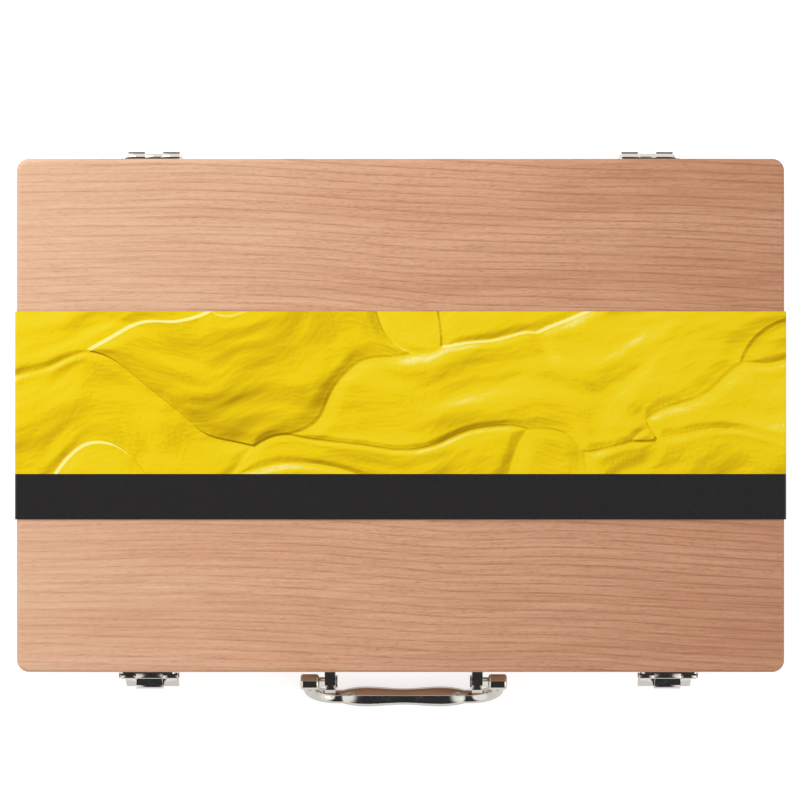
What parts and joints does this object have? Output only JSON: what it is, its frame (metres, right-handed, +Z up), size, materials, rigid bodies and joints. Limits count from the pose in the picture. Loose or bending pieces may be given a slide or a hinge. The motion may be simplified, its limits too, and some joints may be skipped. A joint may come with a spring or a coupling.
{
  "type": "wooden paint box",
  "caption": "Wooden paint case with a hinged lid, flap latches, a bail handle, a card sleeve and paints inside.",
  "frame": {"origin": "centre of the flat face that the closed case rests on, under the card sleeve", "axes": "+X along the case to the right as seen from the handle's side, +Y from the handle to the hinges, +Z up out of the lid"},
  "size_m": [0.3856, 0.2848, 0.0629],
  "materials": {
    "beech": "fine-sanded beech, clear satin sealer",
    "divider_wood": "sanded beech, unsealed",
    "nickel_plate": "bright nickel plate on pressed steel",
    "nickel_screws": "nickel-plated countersunk screws",
    "tube_aluminium": "lacquered soft aluminium tube with a plain colour band",
    "cap_plastic": "moulded screw caps",
    "brush_lacquer": "gloss-lacquered birch handles",
    "ferrule_metal": "spun and crimped aluminium",
    "brush_hair": "golden synthetic hair",
    "knife_wood": "stained and waxed hardwood",
    "blade_steel": "flexible polished steel",
    "pad_paper": "tear-off coated paper with a grey board back",
    "sleeve_card": "printed coated card, yellow thick-paint print over a black strip"
  },
  "bodies": {
    "base": {"base_front_board": "beech", "base_back_board": "beech", "base_left_board": "beech", "base_right_board": "beech", "base_bottom_panel": "beech", "long_divider": "divider_wood", "short_divider": "divider_wood", "hinge_base_leaf_left": "nickel_plate", "hinge_base_leaf_right": "nickel_plate", "hinge_pin_left": "nickel_plate", "hinge_pin_right": "nickel_plate", "hinge_base_screws": "nickel_screws", "latch_keeper_left": "nickel_plate", "latch_keeper_right": "nickel_plate", "latch_keeper_screws": "nickel_screws", "handle_bracket_left": "nickel_plate", "handle_bracket_right": "nickel_plate", "handle_screws": "nickel_screws", "paint_tube_01": "tube_aluminium", "paint_tube_02": "tube_aluminium", "paint_tube_03": "tube_aluminium", "paint_tube_04": "tube_aluminium", "paint_tube_05": "tube_aluminium", "paint_tube_06": "tube_aluminium", "paint_tube_07": "tube_aluminium", "paint_tube_08": "tube_aluminium", "paint_tube_09": "tube_aluminium", "paint_tube_10": "tube_aluminium", "tube_caps": "cap_plastic", "brush_handles": "brush_lacquer", "brush_ferrules": "ferrule_metal", "brush_tufts": "brush_hair", "knife_handle": "knife_wood", "knife_blade": "blade_steel", "palette_pad": "pad_paper"},
    "lid": {"lid_front_board": "beech", "lid_back_board": "beech", "lid_left_board": "beech", "lid_right_board": "beech", "lid_top_panel": "beech", "hinge_lid_leaf_left": "nickel_plate", "hinge_lid_leaf_right": "nickel_plate", "hinge_lid_screws": "nickel_screws", "latch_plate_left": "nickel_plate", "latch_plate_right": "nickel_plate", "latch_pin_left": "nickel_plate", "latch_pin_right": "nickel_plate", "latch_plate_screws": "nickel_screws"},
    "latch_left": {"latch_flap_left": "nickel_plate"},
    "latch_right": {"latch_flap_right": "nickel_plate"},
    "handle": {"handle_bail": "nickel_plate", "handle_pin_left": "nickel_plate", "handle_pin_right": "nickel_plate"},
    "sleeve_wrap": {"sleeve_wrap": "sleeve_card"},
    "sleeve_underside": {"sleeve_underside": "sleeve_card"}
  },
  "joints": [
    {"name": "lid_hinge", "type": "hinge", "parent": "base", "child": "lid", "pos_m": [0, 0.1308, 0.0406], "axis": [-1, 0, 0], "range_deg": [0, 95]},
    {"name": "latch_left_flap", "type": "hinge", "parent": "lid", "child": "latch_left", "pos_m": [-0.127, -0.1314, 0.046], "axis": [-1, 0, 0], "range_deg": [0, 120]},
    {"name": "latch_right_flap", "type": "hinge", "parent": "lid", "child": "latch_right", "pos_m": [0.135, -0.1314, 0.046], "axis": [-1, 0, 0], "range_deg": [0, 120]},
    {"name": "handle_swing", "type": "hinge", "parent": "base", "child": "handle", "pos_m": [0.001, -0.1365, 0.0275], "axis": [-1, 0, 0], "range_deg": [-30, 150]},
    {"name": "sleeve_slide", "type": "slide", "parent": "lid", "child": "sleeve_wrap", "axis": [0, -1, 0], "range_m": [0, 0.22]},
    {"name": "sleeve_underside_slide", "type": "slide", "parent": "base", "child": "sleeve_underside", "axis": [0, -1, 0], "range_m": [0, 0.22]}
  ],
  "couplings": [
    {"joint": "sleeve_underside_slide", "follows": "sleeve_slide", "ratio": 1}
  ]
}
